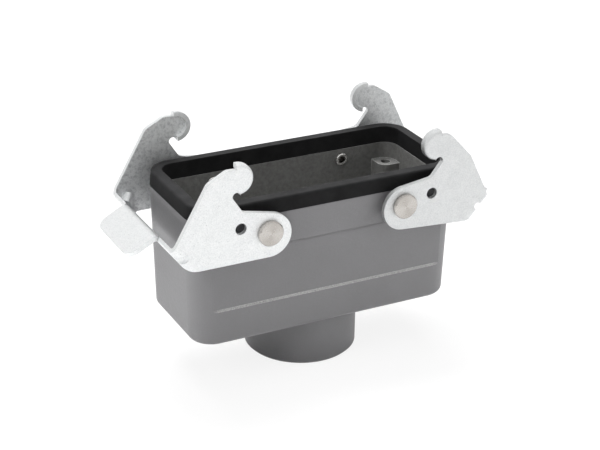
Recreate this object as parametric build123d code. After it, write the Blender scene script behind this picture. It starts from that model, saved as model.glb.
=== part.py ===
from build123d import *
import math
import os

# Heavy duty connector hood standing on its cable entry, mating face up.
# Millimetres, +Z up, +X along the hood, origin on the cable entry axis at the collar's lower face.

# Hood body
length = 93.5
width = 43.0
collar_height = 16.0
body_height = 42.4
corner_radius = 9.0
wall = 4.0
wall_draft = 1.2
floor = 4.0
bottom_round = 2.0
cut_margin = 1.0

# Shallow panels on the two long faces
panel_depth = 0.45
panel_start = 12.0
pad_height = 11.0
pad_depth = 0.2

# Cable entry collar, M32 x 1.5
collar_radius = 18.5
collar_edge = 0.8
entry_bore_radius = 15.2

# Insert screws, M4, at the standard pitch of the insert
screw_from_end = 8.0
screw_from_side = 8.0
screw_drop = 6.4
screw_bore_radius = 1.65
screw_bore_depth = 12.0
screw_boss_radius = 3.3

# Rim groove and profile seal
seal_height = 4.8
seal_lean = 0.4
seal_edge = 0.8
lip_width = 1.0
lip_drop = 0.8
groove_width = 1.6
groove_depth = 2.0
groove_inset = 1.0
seal_clearance = 0.1

# Lever pivots
pivot_from_end = 23.15
pivot_below_rim = 4.3
pivot_boss_radius = 5.2
pivot_boss_height = 2.2
side_play = 0.1
turning_clearance = 0.05

# Rivets
shoulder_radius = 3.0
tenon_radius = 1.7
tenon_clearance = 0.02
head_radius = 4.1
head_height = 1.3
head_edge = 0.35
rolled_end_radius = 2.1
rolled_end_height = 0.8
rolled_end_edge = 0.35
rivet_hollow_radius = 1.25
rivet_hollow_depth = 2.6

# Levers, folded from one sheet
sheet = 1.5
bend_radius = 3.0
arm_radius = 7.3
arm_centre_drop = 0.9
arm_top_slope = 11.0
nose_centre = (10.3, 19.1)
nose_radius = 5.0
nose_flange = 2.6
nose_bend = 1.1
nose_step_offset = 0.7
nose_step = 1.5
notch_centre = (11.0, 13.9)
notch_radius = 1.4
notch_tip_offset = 1.2
notch_start_angle = -15.0
notch_top_angle = 66.0
throat = (9.0, 8.45)
throat_round = 2.5
shoulder_near = (14.2, 22.7)
shoulder_far = (20.4, 19.4)
cut_shoulder_far = (22.9, 14.6)
shoulder_round = 3.0
eye_centre = (9.7, 3.1)
eye_radius = 1.85

# Crossbar and thumb tab, measured from the pivot along and across the crossbar
crossbar_angle = 52.0
crossbar_reach = 26.2
crossbar_high = 20.0
crossbar_top_round = 1.2
crossbar_foot_round = 4.0
tab_level = 20.3
tab_length = 9.8
tab_width = 26.0
tab_rise = 10.0
tab_round = 4.0
tab_bend = 1.0
tab_bend_trim = 0.1
tab_relief = 0.8

# Stiffening darts pressed into the two bends
dart_position = 14.6
dart_groove_radius = 1.2
dart_ridge_radius = 1.7
dart_groove_depth = 2.0
dart_ridge_sink = 1.0
dart_groove_half_length = 4.0
dart_ridge_half_length = 1.9

# Pose seen in the photograph: the right lever hangs a little further out
right_lever_turn = 4.0

# Values that follow from the sizes above
half_length = length / 2
half_width = width / 2
floor_level = collar_height
rim_level = collar_height + body_height
seal_top = rim_level + seal_height
screw_level = rim_level - screw_drop
pivot_x = half_length - pivot_from_end
pivot_level = rim_level - pivot_below_rim
boss_face = half_width - pad_depth + pivot_boss_height
plate_inner = boss_face + side_play
plate_outer = plate_inner + sheet
head_under = plate_outer + side_play
lever_foot = -arm_centre_drop - arm_radius
draft_angle = math.degrees(math.atan(wall_draft / body_height))


def rounded_block(half_x, half_y, radius, low, high, taper=0.0):
    """A block with rounded vertical corners between two levels, narrower towards the top by taper."""
    outline = Plane.XY.offset(low) * RectangleRounded(2 * half_x, 2 * half_y, radius)
    return extrude(outline, high - low, taper=taper)


def above(level):
    """Everything above a level, wider than the hood."""
    return Pos(0, 0, level) * Box(
        2 * length, 2 * width, body_height, align=(Align.CENTER, Align.CENTER, Align.MIN)
    )


def along_y(near, radius, thickness, x, level):
    """A round solid about a Y axis, from the plane y = near outwards."""
    start = Plane((x, near, level), x_dir=(1, 0, 0), z_dir=(0, 1, 0))
    return extrude(start * Circle(radius), thickness)


def outer_body():
    """The cast shell before it is hollowed, with its drafted sides and rounded bottom edge."""
    low_x = half_length - wall_draft
    low_y = half_width - wall_draft
    block = rounded_block(low_x, low_y, corner_radius - wall_draft, floor_level, rim_level, -draft_angle)
    return fillet(block.edges().group_by(Axis.Z)[0], bottom_round)


def face_panel(depth, start, face_sign):
    """What is taken off one long face above a given height, with a sloping lower ledge."""
    outside = half_width + cut_margin
    inside = half_width - depth
    lean = wall_draft * (rim_level - start) / body_height
    profile = Polyline(
        (outside, start),
        (half_width - lean, start),
        (inside - lean, start + depth),
        (inside, rim_level),
        (outside, rim_level),
        close=True,
    )
    section = Plane.YZ * make_face(profile)
    panel = extrude(section, half_length, both=True)
    if face_sign < 0:
        panel = mirror(panel, Plane.XZ)
    return panel


def corner_signs():
    """The four corners, which the pivots and the insert screws belong to, as pairs of signs: X and Y."""
    return [(x_sign, y_sign) for x_sign in (-1, 1) for y_sign in (-1, 1)]


def hood_body():
    """The die cast hood: shell, collar, screw bosses, pivot bosses and the groove for the seal."""
    body = outer_body()
    for face_sign in (-1, 1):
        body -= face_panel(pad_depth, rim_level - pad_height, face_sign)
        low_panel = face_panel(panel_depth, floor_level + panel_start, face_sign)
        body -= low_panel - above(rim_level - pad_height)
    collar = extrude(Circle(collar_radius), collar_height)
    body += chamfer(collar.edges().group_by(Axis.Z)[0], collar_edge)
    for x_sign, y_sign in corner_signs():
        boss = along_y(half_width - wall / 2, pivot_boss_radius,
                       boss_face - half_width + wall / 2, x_sign * pivot_x, pivot_level)
        body += boss if y_sign > 0 else mirror(boss, Plane.XZ)
    body -= above(rim_level)

    cavity_x = half_length - wall
    cavity_y = half_width - wall
    cavity_round = corner_radius - wall
    cavity = rounded_block(cavity_x - wall_draft, cavity_y - wall_draft, cavity_round - wall_draft,
                           floor_level + floor, rim_level, -draft_angle)
    for x_sign, y_sign in corner_signs():
        cavity -= screw_boss(x_sign, y_sign)
    body -= cavity

    body -= extrude(Circle(entry_bore_radius), floor_level + floor)
    for x_sign, y_sign in corner_signs():
        body -= screw_bore(x_sign, y_sign)
    body -= ring(groove_inset - seal_clearance, groove_width + 2 * seal_clearance,
                 rim_level - groove_depth - seal_clearance, rim_level)
    body -= ring(wall - lip_width, lip_width + cut_margin, rim_level - lip_drop, rim_level)
    for x_sign, y_sign in corner_signs():
        bore = along_y(0, tenon_radius + tenon_clearance, boss_face, x_sign * pivot_x, pivot_level)
        body -= bore if y_sign > 0 else mirror(bore, Plane.XZ)
    return body


def screw_boss(x_sign, y_sign):
    """One corner column for an insert screw, up to the insert's flange, with its free corner rounded."""
    x = x_sign * (half_length - screw_from_end - screw_boss_radius)
    y = y_sign * (half_width - screw_from_side - screw_boss_radius)
    x_align = Align.MIN if x_sign > 0 else Align.MAX
    y_align = Align.MIN if y_sign > 0 else Align.MAX
    column = Pos(x, y, floor_level) * Box(
        screw_from_end + screw_boss_radius, screw_from_side + screw_boss_radius,
        screw_level - floor_level, align=(x_align, y_align, Align.MIN)
    )
    free_edge = column.edges().filter_by(Axis.Z).sort_by_distance((x, y, floor_level))[0]
    return fillet(free_edge, screw_boss_radius)


def screw_bore(x_sign, y_sign):
    """The tapped hole of one insert screw."""
    x = x_sign * (half_length - screw_from_end)
    y = y_sign * (half_width - screw_from_side)
    return Pos(x, y, screw_level - screw_bore_depth) * Cylinder(
        screw_bore_radius, screw_bore_depth + cut_margin, align=(Align.CENTER, Align.CENTER, Align.MIN)
    )


def ring(inset, breadth, low, high):
    """A rounded rectangular ring that follows the wall, inset from its outer face."""
    outer = rounded_block(half_length - inset, half_width - inset, corner_radius - inset, low, high)
    inner_inset = inset + breadth
    inner = rounded_block(half_length - inner_inset, half_width - inner_inset,
                          corner_radius - inner_inset, low, high)
    return outer - inner


def profile_seal():
    """The rubber profile on the rim: a flat band, a tongue in the groove and a lip inside."""
    lean_angle = math.degrees(math.atan(seal_lean / seal_height))
    outer = rounded_block(half_length, half_width, corner_radius, rim_level, seal_top, lean_angle)
    outer = fillet(outer.edges().group_by(Axis.Z)[-1], seal_edge)
    opening = rounded_block(half_length - wall, half_width - wall, corner_radius - wall,
                            rim_level - lip_drop - cut_margin, seal_top + cut_margin)
    band = outer - opening
    tongue = ring(groove_inset, groove_width, rim_level - groove_depth, rim_level + seal_height / 2)
    lip = ring(wall - lip_width + seal_clearance, lip_width - seal_clearance,
               rim_level - lip_drop, rim_level + seal_height / 2)
    return band + tongue + lip


def inner_face(level):
    """How far the drafted inner face of a long wall stands from the middle at a level."""
    return half_width - wall - wall_draft * (1 - (level - floor_level - floor) / body_height)


def pivot_rivet(x_sign, y_sign):
    """A turned rivet: head, shoulder that the lever turns on, tenon and rolled hollow end."""
    seat = inner_face(pivot_level - rolled_end_radius)
    x = x_sign * pivot_x
    head = along_y(head_under, head_radius, head_height, x, pivot_level)
    head = chamfer(head.edges().group_by(Axis.Y)[-1], head_edge)
    shoulder = along_y(boss_face, shoulder_radius, head_under - boss_face, x, pivot_level)
    tenon = along_y(seat, tenon_radius, boss_face - seat, x, pivot_level)
    tip = seat - rolled_end_height
    rolled = along_y(tip, rolled_end_radius, rolled_end_height, x, pivot_level)
    rolled = fillet(rolled.edges().group_by(Axis.Y)[0], rolled_end_edge)
    hollow = along_y(tip, rivet_hollow_radius, rivet_hollow_depth, x, pivot_level)
    rivet = head + shoulder + tenon + rolled - hollow
    return rivet if y_sign > 0 else mirror(rivet, Plane.XZ)


def on_circle(centre, radius, degrees):
    """The point of a circle at an angle counted from +X towards +Z."""
    angle = math.radians(degrees)
    return centre[0] + radius * math.cos(angle), centre[1] + radius * math.sin(angle)


def crossbar_point(across, along):
    """A point given in the crossbar's own directions, as distances from the pivot."""
    angle = math.radians(crossbar_angle)
    x = across * math.sin(angle) + along * math.cos(angle)
    z = along * math.sin(angle) - across * math.cos(angle)
    return x, z


def nose_tip():
    """The point where the nose circle meets the top of the notch."""
    x = notch_centre[0] - notch_tip_offset
    return x, nose_centre[1] - math.sqrt(nose_radius**2 - (x - nose_centre[0])**2)


def crossbar_position(across, level):
    """The distance along the crossbar at which a line at a given distance across reaches a level."""
    angle = math.radians(crossbar_angle)
    return (level + across * math.cos(angle)) / math.sin(angle)


def side_outline(far_shoulder):
    """The outline of one side plate about its pivot: arm, throat, notch, nose, shoulder and foot."""
    arm_centre = (0.0, -arm_centre_drop)
    arm_top = on_circle(arm_centre, arm_radius, 90 + arm_top_slope)
    arm_end = on_circle(arm_centre, arm_radius, 180)
    arm_bottom = on_circle(arm_centre, arm_radius, 270)
    notch_start = on_circle(notch_centre, notch_radius, notch_start_angle)
    notch_top = on_circle(notch_centre, notch_radius, notch_top_angle)
    tip = nose_tip()
    nose_far = on_circle(nose_centre, nose_radius, 180)
    nose_end = (nose_centre[0] + nose_step_offset,
                nose_centre[1] + math.sqrt(nose_radius**2 - nose_step_offset**2))
    step_foot = (nose_end[0], nose_end[1] - nose_step)
    bend_line = crossbar_reach - bend_radius
    bend_high = crossbar_point(bend_line, crossbar_high)
    bend_foot = crossbar_point(bend_line, crossbar_position(bend_line, lever_foot))
    edges = [
        Line(arm_top, throat),
        Line(throat, notch_start),
        ThreePointArc(notch_start, notch_top, tip),
        ThreePointArc(tip, nose_far, nose_end),
        Polyline(nose_end, step_foot, shoulder_near, far_shoulder, bend_high, bend_foot, arm_bottom),
        ThreePointArc(arm_bottom, arm_end, arm_top),
    ]
    outline = make_face(Wire(Curve() + edges))
    rounded = ((throat, throat_round), (shoulder_near, shoulder_round), (far_shoulder, shoulder_round))
    for corner, radius in rounded:
        vertex = outline.vertices().sort_by_distance((corner[0], corner[1], 0))[0]
        outline = fillet(vertex, radius)
    return outline


def nose_zone():
    """The part of the side view in which the nose carries its flange, between the step and the notch."""
    above = Pos(nose_step_offset, nose_centre[1]) * Rectangle(
        3 * nose_radius, 2 * nose_radius, align=(Align.MAX, Align.MIN)
    )
    below = Pos(nose_tip()[0] - nose_centre[0], nose_centre[1]) * Rectangle(
        3 * nose_radius, 2 * nose_radius, align=(Align.MAX, Align.MAX)
    )
    return Pos(nose_centre[0], 0) * (above + below)


def nose_rounding():
    """What the outer bend of the nose flange takes off the plate's outer corner."""
    corner = Rectangle(nose_bend, nose_bend, align=(Align.MIN, Align.MIN)) - Circle(nose_bend)
    section = Pos(nose_radius - nose_bend, plate_outer - nose_bend) * corner
    around = Plane((nose_centre[0], 0, nose_centre[1]), x_dir=(1, 0, 0), z_dir=(0, 0, 1))
    axis = Axis((nose_centre[0], 0, nose_centre[1]), (0, 1, 0))
    return revolve(around * section, axis)


def side_plate(far_shoulder):
    """One side plate, from its inner to its outer face at +Y, with the turned nose flange."""
    inner_plane = Plane((0, plate_inner, 0), x_dir=(1, 0, 0), z_dir=(0, -1, 0))
    plate = extrude(inner_plane * side_outline(far_shoulder), -sheet)
    zone = nose_zone()
    band = Pos(*nose_centre) * (Circle(nose_radius) - Circle(nose_radius - sheet))
    plate += extrude(inner_plane * (band & zone), nose_flange - sheet)
    plate -= nose_rounding() & extrude(inner_plane * zone, -2 * sheet)
    near = plate_inner - cut_margin
    through = sheet + 2 * cut_margin
    pivot_hole = along_y(near, shoulder_radius + turning_clearance, through, 0, 0)
    eye = along_y(near, eye_radius, through, eye_centre[0], eye_centre[1])
    return plate - pivot_hole - eye


def crossbar_plane(along):
    """A plane square to the crossbar's short direction: local x leads outwards, local y is Y."""
    angle = math.radians(crossbar_angle)
    x, z = crossbar_point(0, along)
    return Plane((x, 0, z), x_dir=(math.sin(angle), 0, -math.cos(angle)),
                 z_dir=(math.cos(angle), 0, math.sin(angle)))


def crossbar():
    """The strip that joins the side plates, with its two rounded bends."""
    root = crossbar_reach - bend_radius - sheet
    depth = crossbar_reach - root

    def filled(inset, radius):
        breadth = 2 * (plate_outer - inset)
        shape = Pos(root, 0) * Rectangle(depth - inset, breadth, align=(Align.MIN, Align.CENTER))
        outer_corners = shape.vertices().group_by(Axis.X)[-1]
        return fillet(outer_corners, radius)

    section = filled(0, bend_radius) - filled(sheet, bend_radius - sheet)
    lowest = crossbar_position(root, lever_foot)
    strip = extrude(crossbar_plane(lowest) * section, crossbar_high - lowest) & crossbar_side_view()
    gap_low = tab_level - 2 * sheet - tab_bend
    gap = Pos(crossbar_reach, 0) * Rectangle(4 * sheet, tab_width + 2 * tab_relief)
    return strip - extrude(crossbar_plane(gap_low) * gap, crossbar_high - gap_low + cut_margin)


def crossbar_side_view():
    """The space between the lever's level foot and the plates' far edge carried on to the outer face."""
    foot = crossbar_point(crossbar_reach, crossbar_position(crossbar_reach, lever_foot))
    bend_high = crossbar_point(crossbar_reach - bend_radius, crossbar_high)
    run = Vector(*bend_high) - Vector(*shoulder_far)
    outwards = Vector(*crossbar_point(1, 0))
    top = Vector(*bend_high) + run * (bend_radius / run.dot(outwards))
    outline = make_face(Polyline((0, lever_foot), foot, top, shoulder_far, (0, shoulder_far[1]), close=True))
    for corner, radius in ((Vector(*foot), crossbar_foot_round), (top, crossbar_top_round)):
        vertex = outline.vertices().sort_by_distance(corner)[0]
        outline = fillet(vertex, radius)
    return extrude(Plane.XZ * outline, plate_outer, both=True)


def thumb_tab():
    """The tab turned out square from the crossbar's upper edge."""
    gap_low = tab_level - 2 * sheet - tab_bend
    side = crossbar_plane(0)
    section_plane = Plane(side.origin, x_dir=side.x_dir, z_dir=-side.y_dir)
    rise = math.radians(tab_rise)
    near = crossbar_reach - sheet
    outer_corner = (near, tab_level - sheet * math.tan(rise))
    inner_corner = (crossbar_reach, tab_level - sheet / math.cos(rise))
    tip_top = (crossbar_reach + tab_length * math.cos(rise), tab_level + tab_length * math.sin(rise))
    tip_bottom = (tip_top[0] + sheet * math.sin(rise), tip_top[1] - sheet * math.cos(rise))
    profile = make_face(Polyline(
        (near, gap_low), outer_corner, tip_top, tip_bottom, inner_corner, (crossbar_reach, gap_low),
        close=True
    ))
    for corner, radius in ((inner_corner, tab_bend), (outer_corner, tab_bend + sheet - tab_bend_trim)):
        vertex = profile.vertices().sort_by_distance((corner[0], corner[1], 0))[0]
        profile = fillet(vertex, radius)
    tab = extrude(section_plane * profile, tab_width / 2, both=True)
    across_sheet = [edge for edge in tab.edges() if math.isclose(edge.length, sheet)]
    end_edges = sorted(across_sheet, key=lambda edge: edge.center().dot(side.x_dir))[-2:]
    return fillet(end_edges, tab_round)


def dart(y_sign, radius, inset, half_length):
    """A short round bar laid across one bend at 45 degrees, inset from the sharp outer corner."""
    frame = crossbar_plane(dart_position)
    centre = frame.from_local_coords((crossbar_reach - inset / 2, y_sign * (plate_outer - inset / 2), 0))
    direction = frame.x_dir - frame.y_dir * y_sign
    start = Plane(centre, x_dir=frame.z_dir, z_dir=direction)
    return extrude(start * Circle(radius), half_length, both=True)


def lever(front_shoulder):
    """One lever about a pivot on the Y axis, opening towards +X: plates, crossbar, tab and darts."""
    front = mirror(side_plate(front_shoulder), Plane.XZ)
    whole = side_plate(shoulder_far) + front + crossbar() + thumb_tab()
    ridge_inset = dart_groove_depth + math.sqrt(2) * sheet
    for y_sign in (-1, 1):
        whole += dart(y_sign, dart_ridge_radius, ridge_inset + dart_ridge_sink, dart_ridge_half_length)
        whole -= dart(y_sign, dart_groove_radius, dart_groove_depth, dart_groove_half_length)
    return whole


def export(shape, name):
    """Write one node to its STEP file."""
    shape.label = name
    export_step(shape, f"parts/{name}.step")


def main():
    os.makedirs("parts", exist_ok=True)
    export(hood_body(), "hood_body")
    export(profile_seal(), "profile_seal")
    right = Pos(pivot_x, 0, pivot_level) * Rot(0, right_lever_turn, 0) * lever(cut_shoulder_far)
    left = Pos(-pivot_x, 0, pivot_level) * mirror(lever(shoulder_far), Plane.YZ)
    export(right, "lever_right")
    export(left, "lever_left")
    names = {(-1, -1): "rivet_left_front", (-1, 1): "rivet_left_back",
             (1, -1): "rivet_right_front", (1, 1): "rivet_right_back"}
    for x_sign, y_sign in corner_signs():
        export(pivot_rivet(x_sign, y_sign), names[(x_sign, y_sign)])


if __name__ == "__main__":
    main()
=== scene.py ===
"""Heavy duty connector hood, standing on its cable entry with its two locking levers swung open."""
from __future__ import annotations

import logging
import math
from dataclasses import dataclass, field
from enum import Enum
from typing import Any, Sequence, Union

import bpy
import numpy as np
from mathutils import Matrix, Vector


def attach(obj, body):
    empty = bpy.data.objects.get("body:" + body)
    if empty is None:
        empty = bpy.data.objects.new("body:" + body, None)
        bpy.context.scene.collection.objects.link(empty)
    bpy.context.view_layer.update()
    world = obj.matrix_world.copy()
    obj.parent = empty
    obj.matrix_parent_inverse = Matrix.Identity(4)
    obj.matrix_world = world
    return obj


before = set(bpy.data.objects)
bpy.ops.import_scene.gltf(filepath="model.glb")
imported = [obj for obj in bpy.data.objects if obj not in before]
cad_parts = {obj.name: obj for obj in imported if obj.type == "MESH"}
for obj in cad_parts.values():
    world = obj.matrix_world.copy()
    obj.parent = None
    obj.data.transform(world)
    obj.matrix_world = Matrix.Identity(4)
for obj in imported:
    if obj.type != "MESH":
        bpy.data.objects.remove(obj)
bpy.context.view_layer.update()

LOG = logging.getLogger("connector_hood")
MM = 0.001

Colour = tuple[float, float, float]
Number = Union[int, float]
Stops = Sequence[tuple[float, Colour]]

WHITE: Colour = (1.0, 1.0, 1.0)


class Operation(Enum):
    """The Math node operations that the shader arithmetic uses."""

    ADD = "ADD"
    SUBTRACT = "SUBTRACT"
    MULTIPLY = "MULTIPLY"
    SINE = "SINE"
    SQRT = "SQRT"
    ABSOLUTE = "ABSOLUTE"
    GREATER = "GREATER_THAN"
    LESS = "LESS_THAN"
    MAXIMUM = "MAXIMUM"
    ARCTAN2 = "ARCTAN2"


class Value:
    """A number that varies over a surface: a shader socket that takes part in Python arithmetic."""

    def __init__(self, graph: "Graph", socket: bpy.types.NodeSocket) -> None:
        """Wraps one output socket of a node in the graph."""
        self.graph = graph
        self.socket = socket

    def __add__(self, other: Union["Value", Number]) -> "Value":
        """Sum."""
        return self.graph.math(Operation.ADD, self, other)

    def __radd__(self, other: Number) -> "Value":
        """Sum, with the number first."""
        return self.graph.math(Operation.ADD, other, self)

    def __sub__(self, other: Union["Value", Number]) -> "Value":
        """Difference."""
        return self.graph.math(Operation.SUBTRACT, self, other)

    def __rsub__(self, other: Number) -> "Value":
        """Difference, with the number first."""
        return self.graph.math(Operation.SUBTRACT, other, self)

    def __mul__(self, other: Union["Value", Number]) -> "Value":
        """Product."""
        return self.graph.math(Operation.MULTIPLY, self, other)

    def __rmul__(self, other: Number) -> "Value":
        """Product, with the number first."""
        return self.graph.math(Operation.MULTIPLY, other, self)

    def __abs__(self) -> "Value":
        """Size without the sign."""
        return self.graph.math(Operation.ABSOLUTE, self)

    def above(self, limit: Number) -> "Value":
        """1 where the value is greater than a limit, and 0 elsewhere."""
        return self.graph.math(Operation.GREATER, self, limit)

    def below(self, limit: Number) -> "Value":
        """1 where the value is less than a limit, and 0 elsewhere."""
        return self.graph.math(Operation.LESS, self, limit)

    def between(self, limits: tuple[float, float]) -> "Value":
        """1 where the value lies between two limits, and 0 elsewhere."""
        return self.above(limits[0]) * self.below(limits[1])

    def swing(self, amount: Number) -> "Value":
        """How far a value from 0 to 1 lies from its middle, times an amount."""
        return (self - 0.5) * amount

    def wave(self) -> "Value":
        """The sine of the value, moved to run from 0 to 1."""
        return self.graph.math(Operation.SINE, self) * 0.5 + 0.5


Input = Union[Value, Number, Sequence[float], bpy.types.NodeSocket]


@dataclass(frozen=True)
class Grain:
    """One scale of noise: the width of a blob, its finer octaves, and its frequency along each axis."""

    size: float
    detail: float
    roughness: float = 0.5
    stretch: tuple[float, float, float] = (1.0, 1.0, 1.0)


class Graph:
    """One node tree, filled through one general method and a few short forms."""

    bevel_samples: int = 6
    level_slope: float = 0.9

    def __init__(self, name: str) -> None:
        """Makes an empty material of that name.

        Args:
            name: the material's name, in plain words.
        """
        self.material = bpy.data.materials.new(name)
        self.material.use_nodes = True
        self.tree = self.material.node_tree
        self.tree.nodes.clear()

    @classmethod
    def over(cls, tree: bpy.types.NodeTree) -> "Graph":
        """A graph over a node tree that is there already, emptied first.

        Args:
            tree: the tree to fill, such as the world's.

        Returns:
            The graph, which has no material of its own.
        """
        graph = cls.__new__(cls)
        graph.tree = tree
        graph.tree.nodes.clear()
        return graph

    def node(self, kind: str, settings: dict[str, Any] | None = None,
             inputs: dict[Union[str, int], Input] | None = None) -> bpy.types.Node:
        """Adds a node, sets its properties first and then its sockets.

        Args:
            kind: the node's type name.
            settings: its own properties, such as a Math node's operation.
            inputs: a value or a link for each socket, by name or by number.

        Returns:
            The new node.
        """
        made = self.tree.nodes.new(kind)
        for key, setting in (settings or {}).items():
            setattr(made, key, setting)
        for key, given in (inputs or {}).items():
            self.feed(made.inputs[key], given)
        return made

    def feed(self, socket: bpy.types.NodeSocket, given: Input) -> None:
        """Links a socket to a value, or sets its constant.

        Args:
            socket: the input socket.
            given: another socket, a wrapped value, a number or a colour.
        """
        if isinstance(given, Value):
            self.tree.links.new(given.socket, socket)
        elif isinstance(given, bpy.types.NodeSocket):
            self.tree.links.new(given, socket)
        elif isinstance(given, (tuple, list)) and socket.type == "RGBA" and len(given) == 3:
            socket.default_value = (*given, 1.0)
        else:
            socket.default_value = given

    def math(self, operation: Operation, *values: Input) -> Value:
        """One Math node on up to three values, as a value."""
        made = self.node("ShaderNodeMath", {"operation": operation.value}, dict(enumerate(values)))
        return Value(self, made.outputs[0])

    def clamp(self, value: Value) -> Value:
        """A value kept between 0 and 1."""
        made = self.node("ShaderNodeClamp", None, {"Value": value, "Min": 0.0, "Max": 1.0})
        return Value(self, made.outputs[0])

    def coordinates(self) -> bpy.types.NodeSocket:
        """The piece's own coordinates, in metres."""
        return self.node("ShaderNodeTexCoord").outputs["Object"]

    def parts(self, vector: Input) -> tuple[Value, Value, Value]:
        """The three numbers of a vector."""
        made = self.node("ShaderNodeSeparateXYZ", None, {0: vector})
        return tuple(Value(self, made.outputs[i]) for i in range(3))

    def noise(self, grain: Grain) -> Value:
        """Noise between 0 and 1 on the piece's own coordinates.

        Args:
            grain: the scale of the noise.

        Returns:
            The noise value.
        """
        mapped = self.node("ShaderNodeMapping", None, {"Vector": self.coordinates(), "Scale": grain.stretch})
        made = self.node("ShaderNodeTexNoise", {"noise_dimensions": "3D"}, {
            "Vector": mapped.outputs[0], "Scale": 1.0 / grain.size,
            "Detail": grain.detail, "Roughness": grain.roughness,
        })
        return Value(self, made.outputs["Fac"])

    def ramp(self, value: Value, stops: Stops) -> bpy.types.NodeSocket:
        """A colour ramp over a value.

        Args:
            value: the number that chooses the colour.
            stops: two positions and their colours.

        Returns:
            The colour socket.
        """
        made = self.node("ShaderNodeValToRGB", None, {"Fac": value})
        for element, (position, colour) in zip(made.color_ramp.elements, stops):
            element.position = position
            element.color = (*colour, 1.0)
        return made.outputs["Color"]

    def blend(self, share: Value, first: Input, second: Input) -> bpy.types.NodeSocket:
        """Mixes two colours.

        Args:
            share: how much of the second colour is used.
            first: the colour at share 0.
            second: the colour at share 1.

        Returns:
            The mixed colour socket.
        """
        made = self.node("ShaderNodeMix", {"data_type": "RGBA", "blend_type": "MIX", "clamp_factor": True})
        factor, first_colour, second_colour = made.inputs[0], made.inputs[6], made.inputs[7]
        self.feed(factor, share)
        self.feed(first_colour, first)
        self.feed(second_colour, second)
        return made.outputs[2]

    def soft_edges(self, radius: float) -> bpy.types.NodeSocket:
        """A normal that rounds the sharp edges of a piece by a small radius, in metres."""
        return self.node("ShaderNodeBevel", {"samples": self.bevel_samples}, {"Radius": radius}).outputs[0]

    def up_facing(self) -> Value:
        """1 on level faces that look up, and 0 on walls."""
        _, _, upward = self.parts(self.node("ShaderNodeNewGeometry").outputs["Normal"])
        return upward.above(self.level_slope)

    def on_edge(self, rounded: bpy.types.NodeSocket, gain: float) -> Value:
        """How near a point lies to a sharp edge: 0 on flat faces and up to 1 on the edge.

        Args:
            rounded: the normal from soft_edges.
            gain: how fast the value rises towards the edge.

        Returns:
            1 less the cosine between the flat and the rounded normal, times the gain.
        """
        flat = self.node("ShaderNodeNewGeometry").outputs["Normal"]
        cosine = self.node("ShaderNodeVectorMath", {"operation": "DOT_PRODUCT"}, {0: rounded, 1: flat})
        return self.clamp((1 - Value(self, cosine.outputs["Value"])) * gain)

    def bump(self, height: Value, depth: float, strength: float,
             normal: bpy.types.NodeSocket) -> bpy.types.NodeSocket:
        """Raises a surface by a height value times a depth in metres.

        Args:
            height: the relief, from 0 to 1.
            depth: the size of the relief at height 1, in metres.
            strength: the share of the relief that shows.
            normal: the normal that the relief is laid on.

        Returns:
            The bumped normal.
        """
        return self.node("ShaderNodeBump", None, {
            "Height": height, "Distance": depth, "Strength": strength, "Normal": normal,
        }).outputs[0]

    def surface(self, **inputs: Input) -> bpy.types.Material:
        """Closes the tree with a principled surface and returns the material.

        Args:
            inputs: the sockets, with an underscore for each space of their names.

        Returns:
            The finished material.
        """
        named = {key.replace("_", " "): given for key, given in inputs.items()}
        shader = self.node("ShaderNodeBsdfPrincipled", None, named)
        self.node("ShaderNodeOutputMaterial", None, {"Surface": shader.outputs[0]})
        return self.material


def brightness(colour: Colour, factor: float) -> Colour:
    """A colour times a factor."""
    return tuple(channel * factor for channel in colour)


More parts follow.
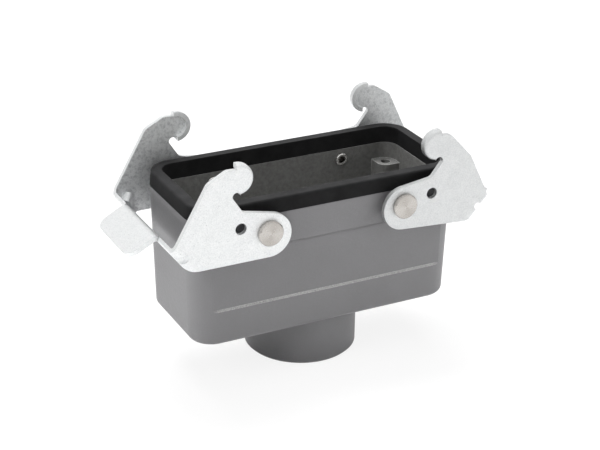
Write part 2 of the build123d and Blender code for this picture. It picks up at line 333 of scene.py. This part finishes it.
@dataclass(frozen=True)
class PowderCoat:
    """Grey powder coat on a die casting: fine orange peel outside, a coarser cast grain and painted shade
    inside.

    The shares named wear and their swings say how much bare metal shows, on average and with the grain. The
    ledge highlight and the light on the boss tops are painted light in the bare metal's colour.
    """

    colour: Colour = (0.196, 0.194, 0.199)
    # painted shade: the cavity's inside is the same coat, coloured darker for its shade
    inner_shade_colour: Colour = (0.145, 0.145, 0.140)
    metal: Colour = (0.52, 0.52, 0.51)
    darkest: float = 0.88
    lightest: float = 1.12
    inner_darkest: float = 0.72
    inner_lightest: float = 1.3
    cloud: Grain = Grain(14 * MM, 3.0)
    peel: Grain = Grain(1.1 * MM, 2.0)
    grain: Grain = Grain(0.28 * MM, 2.0, 0.6)
    cast: Grain = Grain(1.3 * MM, 4.0, 0.65)
    cloud_in_tone: float = 0.5
    grain_in_tone: float = 0.9
    cast_in_tone: float = 1.6
    roughness: float = 0.46
    peel_in_roughness: float = 0.12
    inner_roughness: float = 0.05
    specular: float = 0.25
    relief_depth: float = 0.12 * MM
    relief_strength: float = 0.85
    peel_relief: float = 0.55
    grain_relief: float = 0.45
    cast_relief: float = 1.6
    inner_grain_relief: float = 0.4
    edge_radius: float = 0.35 * MM
    edge_gain: float = 6.0
    corner_wear: float = 0.10
    cavity: tuple[float, float, float] = (42.9 * MM, 17.65 * MM, 19.8 * MM)
    ledge_levels: tuple[float, float] = (27.9 * MM, 28.65 * MM)
    ledge_half_length: float = 40.5 * MM
    ledge_fade: float = 2 * MM
    # painted highlight: the ledge's bright line, drawn in the bare metal's colour
    ledge_highlight: float = 0.60
    ledge_highlight_swing: float = 2.2
    boss_levels: tuple[float, float] = (40.0 * MM, 52.1 * MM)
    boss_start: float = 34.0 * MM
    # painted light on the up-facing tops of the screw bosses
    boss_top_light: float = 0.08
    boss_rim_wear: float = 0.75
    boss_rim_wear_swing: float = 2.4

    def material(self) -> bpy.types.Material:
        """Builds the material.

        Returns:
            The powder coat, coarser inside the cavity and darkened there as painted shade, with a painted
            highlight along the ledge of the front face, painted light on the tops of the screw bosses, and
            rubbed through on the rims of the screw bosses.
        """
        g = Graph("grey powder coat")
        x, y, z = g.parts(g.coordinates())
        along, across = abs(x), abs(y)
        half_length, half_width, floor = self.cavity
        inside = along.below(half_length) * across.below(half_width) * z.above(floor)
        peel, grain, cast = g.noise(self.peel), g.noise(self.grain), g.noise(self.cast)
        tone = g.clamp(0.5 + g.noise(self.cloud).swing(self.cloud_in_tone) + grain.swing(self.grain_in_tone))
        outer = g.ramp(tone, ((0.0, brightness(self.colour, self.darkest)),
                              (1.0, brightness(self.colour, self.lightest))))
        # painted shade inside the cavity, with the cast grain's random tone on top
        inner_in_shade = g.ramp(g.clamp(cast.swing(self.cast_in_tone) + 0.5),
                       ((0.0, brightness(self.inner_shade_colour, self.inner_darkest)),
                        (1.0, brightness(self.inner_shade_colour, self.inner_lightest))))
        rounded = g.soft_edges(self.edge_radius)
        edge = g.on_edge(rounded, self.edge_gain)
        on_boss = inside * z.between(self.boss_levels) * along.above(self.boss_start)
        fade = g.clamp((self.ledge_half_length - along) * (1 / self.ledge_fade))
        on_ledge = z.between(self.ledge_levels) * y.below(0.0) * (1 - inside) * fade
        rim_wear = edge * (self.boss_rim_wear + grain.swing(self.boss_rim_wear_swing))
        # painted highlight along the ledge and painted light on the up-facing boss tops; the boss rims and
        # outer edges are real wear
        rubbed_and_lit = g.clamp(on_ledge * (self.ledge_highlight + grain.swing(self.ledge_highlight_swing))
                         + on_boss * (g.up_facing() * self.boss_top_light + rim_wear)
                         + edge * (1 - inside) * self.corner_wear)
        relief = ((peel * self.peel_relief + grain * self.grain_relief) * (1 - inside)
                  + (cast * self.cast_relief + grain * self.inner_grain_relief) * inside)
        return g.surface(
            Base_Color=g.blend(rubbed_and_lit, g.blend(inside, outer, inner_in_shade), self.metal),
            Roughness=g.clamp(self.roughness + peel.swing(self.peel_in_roughness)
                              + inside * self.inner_roughness),
            Normal=g.bump(relief, self.relief_depth, self.relief_strength, rounded),
            Specular_IOR_Level=self.specular,
        )


@dataclass(frozen=True)
class SealRubber:
    """Matt black nitrile rubber with a faint moulded texture and a dusty bloom."""

    colour: Colour = (0.0095, 0.0095, 0.0098)
    bloom: Colour = (0.021, 0.021, 0.0215)
    dust: Grain = Grain(5 * MM, 4.0, 0.6)
    dust_gain: float = 1.6
    dust_start: float = 0.4
    pores: Grain = Grain(0.3 * MM, 2.0, 0.6)
    flow: Grain = Grain(2.2 * MM, 2.0, 0.5, (0.3, 0.3, 2.0))
    roughness: float = 0.56
    pores_in_roughness: float = 0.15
    dust_in_roughness: float = 0.06
    specular: float = 0.06
    relief_depth: float = 0.05 * MM
    relief_strength: float = 0.6
    pores_relief: float = 0.6
    flow_relief: float = 0.4
    edge_radius: float = 0.5 * MM

    def material(self) -> bpy.types.Material:
        """Builds the material.

        Returns:
            The rubber.
        """
        g = Graph("black seal rubber")
        dust = g.clamp(g.noise(self.dust) * self.dust_gain - self.dust_start)
        pores = g.noise(self.pores)
        relief = pores * self.pores_relief + g.noise(self.flow) * self.flow_relief
        return g.surface(
            Base_Color=g.blend(dust, self.colour, self.bloom),
            Roughness=g.clamp(self.roughness + pores.swing(self.pores_in_roughness)
                              + dust * self.dust_in_roughness),
            Normal=g.bump(relief, self.relief_depth, self.relief_strength, g.soft_edges(self.edge_radius)),
            Specular_IOR_Level=self.specular,
        )


@dataclass(frozen=True)
class ZincPlate:
    """Matt bright zinc plate on punched sheet: pale, with a fine crystal grain and small darker specks,
    painted shade along the edges and in blotches on the inner faces, and a level that paints the whole plate
    lighter for one lever and darker for the other.
    """

    name: str
    # painted light: a brightness factor for the whole plate
    level: float
    bright: Colour = (0.90, 0.91, 0.91)
    shade: Colour = (0.74, 0.755, 0.76)
    speck: Colour = (0.50, 0.51, 0.52)
    # painted shade in blotches on the inner faces of the side plates, which face the hood
    inner_face_shade: Colour = (0.30, 0.31, 0.32)
    mottle: Grain = Grain(2.4 * MM, 5.0, 0.68)
    crystals: Grain = Grain(0.42 * MM, 3.0, 0.7)
    rolling: Grain = Grain(0.5 * MM, 2.0, 0.5, (0.12, 1.0, 0.12))
    specks: Grain = Grain(0.4 * MM, 1.0, 0.4)
    blotches: Grain = Grain(1.3 * MM, 4.0, 0.8)
    middle_tone: float = 0.40
    mottle_in_tone: float = 0.7
    crystals_in_tone: float = 2.2
    speck_start: float = 0.65
    speck_gain: float = 8.0
    speck_share: float = 0.5
    blotch_swing: float = 6.0
    blotch_middle: float = 0.25
    inner_face_shade_share: float = 0.42
    metallic: float = 0.94
    roughness: float = 0.46
    mottle_in_roughness: float = 0.22
    crystals_in_roughness: float = 0.2
    relief_depth: float = 0.24 * MM
    relief_strength: float = 0.9
    crystals_relief: float = 0.7
    rolling_relief: float = 0.1
    mottle_relief: float = 0.2
    edge_radius: float = 0.25 * MM
    edge_gain: float = 3.0
    # painted shade: a darker outline along the rounded edges
    edge_shade: float = 0.35
    inner_face: tuple[float, float] = (23.5 * MM, 23.7 * MM)

    def material(self) -> bpy.types.Material:
        """Builds the material.

        Returns:
            The zinc plate, with blotchy painted shade on the inner faces of the side plates and a painted
            darker outline along its edges.
        """
        g = Graph(self.name)
        _, y, _ = g.parts(g.coordinates())
        mottle, crystals = g.noise(self.mottle), g.noise(self.crystals)
        blotches = g.clamp(g.noise(self.blotches).swing(self.blotch_swing) + self.blotch_middle)
        specks = g.clamp((g.noise(self.specks) - self.speck_start) * self.speck_gain)
        tone = g.clamp(mottle.swing(self.mottle_in_tone) + crystals.swing(self.crystals_in_tone)
                       + self.middle_tone)
        plated = g.blend(tone, brightness(self.bright, self.level), brightness(self.shade, self.level))
        rounded = g.soft_edges(self.edge_radius)
        # painted shade in blotches on the inner faces of the side plates
        shaded_inside = g.blend(blotches * abs(y).between(self.inner_face) * self.inner_face_shade_share, plated, self.inner_face_shade)
        # painted shade: a darker outline along the plate's rounded edges
        painted_light_tone = g.blend(g.on_edge(rounded, self.edge_gain) * self.edge_shade, shaded_inside, self.speck)
        relief = (crystals * self.crystals_relief + g.noise(self.rolling) * self.rolling_relief
                  + mottle * self.mottle_relief)
        return g.surface(
            Base_Color=g.blend(specks * self.speck_share, painted_light_tone, self.speck),
            Metallic=self.metallic,
            Roughness=g.clamp(self.roughness + mottle.swing(self.mottle_in_roughness)
                              + crystals.swing(self.crystals_in_roughness)),
            Normal=g.bump(relief, self.relief_depth, self.relief_strength, rounded),
        )


@dataclass(frozen=True)
class TurnedSteel:
    """Turned steel of the rivets: warm grey, with fine rings about the rivet's axis and a painted sheen fan
    about it, painted highlights on the rims and painted shade in the hollows of the rolled ends.
    """

    colour: Colour = (0.46, 0.435, 0.405)
    # painted sheen: the lighter tone of the sheen fan, mixed with a random smear
    painted_light_tone: Colour = (0.59, 0.565, 0.535)
    # painted highlight on the rounded rims of the heads and on the rolled inner ends
    rim_highlight: Colour = (0.90, 0.89, 0.87)
    # painted shade in the hollows of the rolled inner ends
    hollow_shade: Colour = (0.02, 0.02, 0.02)
    wobble: Grain = Grain(3 * MM, 2.0)
    smear: Grain = Grain(1.6 * MM, 2.0)
    ring_pitch: float = 0.22 * MM
    ring_wobble: float = 4.0
    # painted sheen: lighter and darker sectors about the axis stand in for the turned surface's reflection
    sheen_lobes: float = 2.0
    sheen_turn: float = 0.9
    sheen_in_tone: float = 0.7
    smear_in_tone: float = 0.3
    rings_in_tone: float = 0.1
    tone_drop: float = 0.1
    roughness: float = 0.27
    smear_in_roughness: float = 0.1
    relief_depth: float = 0.003 * MM
    relief_strength: float = 0.6
    edge_radius: float = 0.22 * MM
    edge_gain: float = 4.0
    edge_highlight: float = 0.7
    inner_end_highlight: float = 0.9
    axis: tuple[float, float] = (23.6 * MM, 54.1 * MM)
    inner_end: float = 18.0 * MM
    hollow_floor: float = 20.0 * MM
    hollow_radius: float = 1.27 * MM
    hollow_shade_share: float = 0.7

    def material(self) -> bpy.types.Material:
        """Builds the material.

        Returns:
            The turned steel, with its rings about each pivot axis, a painted sheen fan, painted highlights on
            the head rims and the rolled inner ends, and painted shade in the hollow of each rolled inner end.
        """
        g = Graph("turned rivet steel")
        x, y, z = g.parts(g.coordinates())
        across, level, depth = abs(x) - self.axis[0], z - self.axis[1], abs(y)
        radius = g.math(Operation.SQRT, across * across + level * level)
        turns = radius * (2 * math.pi / self.ring_pitch)
        rings = (turns + g.noise(self.wobble) * self.ring_wobble).wave()
        # painted sheen: a fan of lighter and darker sectors about each rivet's axis
        sheen_fan = (g.math(Operation.ARCTAN2, level, across) * self.sheen_lobes + self.sheen_turn).wave()
        smear = g.noise(self.smear)
        tone = g.clamp(sheen_fan * self.sheen_in_tone + smear * self.smear_in_tone + rings * self.rings_in_tone
                       - self.tone_drop)
        rounded = g.soft_edges(self.edge_radius)
        edge = g.on_edge(rounded, self.edge_gain)
        # painted highlight along the head's rounded rim and over each rolled inner end
        highlighted = g.clamp(edge * self.edge_highlight + depth.below(self.inner_end) * self.inner_end_highlight)
        turned = g.blend(highlighted, g.blend(tone, self.colour, self.painted_light_tone), self.rim_highlight)
        # painted shade in the hollow of each rolled inner end
        hollow = depth.below(self.hollow_floor) * radius.below(self.hollow_radius)
        return g.surface(
            Base_Color=g.blend(hollow * self.hollow_shade_share, turned, self.hollow_shade),
            Metallic=1.0,
            Roughness=g.clamp(self.roughness + smear.swing(self.smear_in_roughness)),
            Normal=g.bump(rings, self.relief_depth, self.relief_strength, rounded),
        )


def mesh_piece(name: str, points: np.ndarray, faces: np.ndarray,
               material: bpy.types.Material) -> bpy.types.Object:
    """Makes one piece from computed arrays.

    Args:
        name: the piece's name.
        points: its vertices, one row each, in metres.
        faces: vertex numbers of its four sided faces, one row each.
        material: its finish.

    Returns:
        The new object, at the origin and smooth shaded.
    """
    mesh = bpy.data.meshes.new(name)
    mesh.vertices.add(len(points))
    mesh.vertices.foreach_set("co", points.astype(np.float32).ravel())
    mesh.loops.add(faces.size)
    mesh.loops.foreach_set("vertex_index", faces.astype(np.int32).ravel())
    mesh.polygons.add(len(faces))
    mesh.polygons.foreach_set("loop_start", np.arange(0, faces.size, 4, dtype=np.int32))
    mesh.polygons.foreach_set("loop_total", np.full(len(faces), 4, dtype=np.int32))
    mesh.polygons.foreach_set("use_smooth", np.ones(len(faces), dtype=bool))
    mesh.update(calc_edges=True)
    mesh.validate()
    mesh.materials.append(material)
    piece = bpy.data.objects.new(name, mesh)
    bpy.context.scene.collection.objects.link(piece)
    return piece


def grid_faces(rows: int, columns: int) -> np.ndarray:
    """The faces of a grid of points that is open both ways.

    Args:
        rows: points along the first parameter.
        columns: points along the second parameter.

    Returns:
        Vertex numbers, four to a row, for points numbered row by row.
    """
    row, column = np.meshgrid(np.arange(rows - 1), np.arange(columns - 1), indexing="ij")
    first = (row * columns + column).ravel()
    return np.stack([first, first + 1, first + columns + 1, first + columns], axis=1)


@dataclass(frozen=True)
class ThreadForm:
    """The section and pitch of a thread.

    The profile gives positions across one pitch and the height of the ridge there, as shares. The sink is how
    far the strip stands off the bore's wall, so that the two don't fight for the same place.
    """

    bore_radius: float
    pitch: float
    ridge: float
    steps: int
    sink: float = 0.01 * MM
    profile_across: tuple[float, ...] = (0.0, 0.12, 0.44, 0.56, 0.88, 1.0)
    profile_height: tuple[float, ...] = (0.0, 0.0, 1.0, 1.0, 0.0, 0.0)


@dataclass
class InternalThread:
    """A screw thread inside a bore: a low ridge that winds up its wall."""

    name: str
    centre: tuple[float, float]
    low: float
    high: float
    form: ThreadForm

    def build(self, material: bpy.types.Material) -> bpy.types.Object:
        """Makes the thread as one wound strip.

        At the turn angle a the ridge stands at the level low + pitch * a / (2 pi). Across the strip the
        radius is the bore radius, less the sink and less the ridge's height times the profile. The height
        fades over half a turn at both ends.

        Args:
            material: the finish of the bore's wall.

        Returns:
            The thread's object.
        """
        form = self.form
        turns = (self.high - self.low) / form.pitch - 1.0
        angle = np.linspace(0.0, 2 * math.pi * turns, int(form.steps * turns))
        across, crest = np.array(form.profile_across), np.array(form.profile_height)
        fade = np.clip(np.minimum(angle, angle[-1] - angle) / math.pi, 0.0, 1.0)
        radius = form.bore_radius - form.sink - form.ridge * fade[:, None] * crest[None, :]
        level = self.low + form.pitch * (angle[:, None] / (2 * math.pi) + across[None, :])
        points = np.stack([
            self.centre[0] + radius * np.cos(angle)[:, None],
            self.centre[1] + radius * np.sin(angle)[:, None],
            level,
        ], axis=-1).reshape(-1, 3)
        faces = grid_faces(len(angle), len(across))[:, ::-1]
        return mesh_piece(self.name, points, faces, material)


@dataclass
class Hood:
    """The casting with its seal, its rivets and its threads: everything that stays still.

    Each thread stops short of its bore's two ends by its margins, the lower one first.
    """

    coat: PowderCoat = field(default_factory=PowderCoat)
    rubber: SealRubber = field(default_factory=SealRubber)
    steel: TurnedSteel = field(default_factory=TurnedSteel)
    entry_form: ThreadForm = ThreadForm(15.2 * MM, 1.5 * MM, 0.45 * MM, 96)
    entry_depth: float = 20.0 * MM
    entry_margins: tuple[float, float] = (0.6 * MM, 0.4 * MM)
    screw_form: ThreadForm = ThreadForm(1.65 * MM, 0.7 * MM, 0.22 * MM, 32)
    screw_level: float = 52.0 * MM
    screw_depth: float = 12.0 * MM
    screw_margins: tuple[float, float] = (0.2 * MM, 0.3 * MM)
    screw_pitch_x: float = 77.5 * MM
    screw_pitch_y: float = 27.0 * MM

    def build(self) -> None:
        """Dresses the casting, seal and rivets, and adds the threads."""
        coat = self.coat.material()
        steel = self.steel.material()
        dress("hood_body", coat)
        dress("profile_seal", self.rubber.material())
        for end in ("left", "right"):
            for side in ("front", "back"):
                dress(f"rivet_{end}_{side}", steel)
        for thread in self.threads():
            piece = thread.build(coat)
            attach(piece, "hood")
            LOG.info("made %s", piece.name)

    def threads(self) -> list[InternalThread]:
        """The cable entry's thread and the threads of the four insert screws.

        Returns:
            The five threads.
        """
        low, high = self.entry_margins
        found = [InternalThread("entry_thread", (0.0, 0.0), low, self.entry_depth - high, self.entry_form)]
        low, high = self.screw_margins
        for end, x_sign in (("left", -1), ("right", 1)):
            for side, y_sign in (("front", -1), ("back", 1)):
                centre = (x_sign * self.screw_pitch_x / 2, y_sign * self.screw_pitch_y / 2)
                found.append(InternalThread(f"screw_thread_{end}_{side}", centre,
                                            self.screw_level - self.screw_depth + low,
                                            self.screw_level - high, self.screw_form))
        return found


@dataclass
class Levers:
    """The two locking levers, each one piece of folded sheet."""

    # painted light and shade: the left lever's plate is painted lighter and the right lever's darker, as lit
    # and shaded copies of one zinc plate
    left: ZincPlate = ZincPlate("zinc plate", 1.06)
    right: ZincPlate = ZincPlate("zinc plate painted darker", 0.87)

    def build(self) -> None:
        """Dresses both levers."""
        dress("lever_left", self.left.material())
        dress("lever_right", self.right.material())


def dress(node: str, material: bpy.types.Material) -> None:
    """Gives a modelled part its finish.

    Args:
        node: the part's name in the frame.
        material: the finish.
    """
    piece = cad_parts[node]
    for slot in piece.material_slots:
        slot.material = material
    LOG.info("dressed %s", node)


@dataclass
class SoftBox:
    """One large soft lamp that points at the hood, and doesn't show in its gloss."""

    name: str
    place: tuple[float, float, float]
    size: float
    power: float
    aim: tuple[float, float, float] = (0.0, 0.0, 0.03)

    def build(self) -> None:
        """Adds the lamp."""
        lamp = bpy.data.lights.new(self.name, "AREA")
        lamp.shape = "SQUARE"
        lamp.size = self.size
        lamp.energy = self.power
        holder = bpy.data.objects.new(self.name, lamp)
        holder.location = self.place
        direction = Vector(self.aim) - Vector(self.place)
        holder.rotation_euler = direction.to_track_quat("-Z", "Y").to_euler()
        holder.visible_glossy = False
        bpy.context.scene.collection.objects.link(holder)


@dataclass
class Studio:
    """White floor, pale surroundings and soft lamps.

    The lift is how much plain white is mixed into the floor that the camera sees. Ambient, horizon and zenith
    are levels of the surroundings, and the rise is how fast a reflection goes from horizon to zenith.
    """

    floor_size: float = 6.0
    floor_colour: Colour = (0.86, 0.86, 0.86)
    lift: float = 0.86
    ambient: float = 0.03
    horizon: float = 0.45
    zenith: float = 0.97
    rise: float = 2.2
    lamps: tuple[SoftBox, ...] = (
        SoftBox("left_lamp", (-0.60, -0.10, 0.45), 0.42, 1.65),
        SoftBox("high_left_lamp", (-0.40, -0.25, 0.62), 0.50, 1.0),
        SoftBox("top_lamp", (0.05, 0.05, 0.80), 0.60, 3.2),
        SoftBox("back_lamp", (0.05, 0.40, 0.66), 0.60, 17.0),
        SoftBox("right_lamp", (0.62, -0.35, 0.40), 0.50, 2.4),
    )

    def build(self) -> None:
        """Builds the floor, the world and the lamps."""
        self.floor()
        self.world()
        for lamp in self.lamps:
            lamp.build()

    def floor(self) -> None:
        """A white floor that shows a faint soft shadow.

        What the camera sees is the lit floor mixed with plain white, so that the shadow stays and the rest
        is white.
        """
        half = self.floor_size / 2
        points = np.array([(-half, -half, 0.0), (half, -half, 0.0), (half, half, 0.0), (-half, half, 0.0)])
        g = Graph("pale floor")
        lit = g.node("ShaderNodeBsdfDiffuse", None, {"Color": self.floor_colour})
        white = g.node("ShaderNodeEmission", None, {"Color": WHITE, "Strength": 1.0})
        path = g.node("ShaderNodeLightPath")
        seen = g.math(Operation.MAXIMUM, path.outputs["Is Camera Ray"], path.outputs["Is Glossy Ray"])
        mixed = g.node("ShaderNodeMixShader", None,
                       {0: seen * self.lift, 1: lit.outputs[0], 2: white.outputs[0]})
        g.node("ShaderNodeOutputMaterial", None, {"Surface": mixed.outputs[0]})
        mesh_piece("floor", points, np.array([[0, 1, 2, 3]]), g.material)

    def world(self) -> None:
        """Pale surroundings: white to the camera, dim to soft light, and a gradient in reflections.

        A reflection's level rises from the horizon's to the zenith's with the height in the surroundings.
        """
        world = bpy.data.worlds.new("pale surroundings")
        world.use_nodes = True
        bpy.context.scene.world = world
        g = Graph.over(world.node_tree)
        path = g.node("ShaderNodeLightPath")
        mirrored = Value(g, path.outputs["Is Glossy Ray"])
        _, _, upward = g.parts(g.node("ShaderNodeTexCoord").outputs["Generated"])
        height = g.clamp(abs(upward) * self.rise)
        level = mirrored * (self.horizon + height * (self.zenith - self.horizon))
        strength = g.math(Operation.MAXIMUM, path.outputs["Is Camera Ray"],
                          level + (1 - mirrored) * self.ambient)
        glow = g.node("ShaderNodeBackground", None, {"Color": WHITE, "Strength": strength})
        g.node("ShaderNodeOutputWorld", None, {"Surface": glow.outputs[0]})


@dataclass
class Viewpoint:
    """The camera of the photograph, found by fitting measured points of the hood to the picture."""

    azimuth: float = -27.99
    elevation: float = 25.16
    roll: float = -1.2
    focal_pixels: float = 1597.2
    picture: tuple[int, int] = (600, 450)
    axis_pixel: tuple[float, float] = (315.93, 230.59)
    rim_level: float = 63.2 * MM
    rim_in_view: tuple[float, float, float] = (-4.357 * MM, -21.526 * MM, 510.377 * MM)
    film_width: float = 36.0
    nearest: float = 0.01
    farthest: float = 50.0

    def build(self) -> None:
        """Adds the camera.

        The view axes are the azimuth and elevation turned by the roll. The centre of the rim lies at
        rim_in_view, counted to the right, down and forward. The lens axis meets the picture at axis_pixel.
        """
        azimuth, elevation, roll = (math.radians(v) for v in (self.azimuth, self.elevation, self.roll))
        back = np.array([math.sin(azimuth) * math.cos(elevation), -math.cos(azimuth) * math.cos(elevation),
                         math.sin(elevation)])
        level_right = np.cross(-back, (0.0, 0.0, 1.0))
        level_right /= np.linalg.norm(level_right)
        level_down = np.cross(-back, level_right)
        right = math.cos(roll) * level_right + math.sin(roll) * level_down
        down = math.cos(roll) * level_down - math.sin(roll) * level_right
        axes = np.stack([right, down, -back])
        place = np.array([0.0, 0.0, self.rim_level]) - axes.T @ np.array(self.rim_in_view)
        width, height = self.picture
        lens = bpy.data.cameras.new("photograph camera")
        lens.sensor_fit = "HORIZONTAL"
        lens.sensor_width = self.film_width
        lens.lens = self.focal_pixels * self.film_width / width
        lens.shift_x = (width / 2 - self.axis_pixel[0]) / width
        lens.shift_y = (self.axis_pixel[1] - height / 2) / width
        lens.clip_start = self.nearest
        lens.clip_end = self.farthest
        camera = bpy.data.objects.new("photograph_camera", lens)
        turn = Matrix(np.stack([right, -down, back], axis=1).tolist()).to_4x4()
        camera.matrix_world = Matrix.Translation(place.tolist()) @ turn
        bpy.context.scene.collection.objects.link(camera)
        bpy.context.scene.camera = camera


def main() -> None:
    """Dresses the parts, adds the small pieces, and sets the light and the camera."""
    logging.basicConfig(level=logging.INFO, format="%(name)s: %(message)s")
    bpy.context.scene.view_settings.view_transform = "Standard"
    Hood().build()
    Levers().build()
    Studio().build()
    Viewpoint().build()


if __name__ == "__main__":
    main()
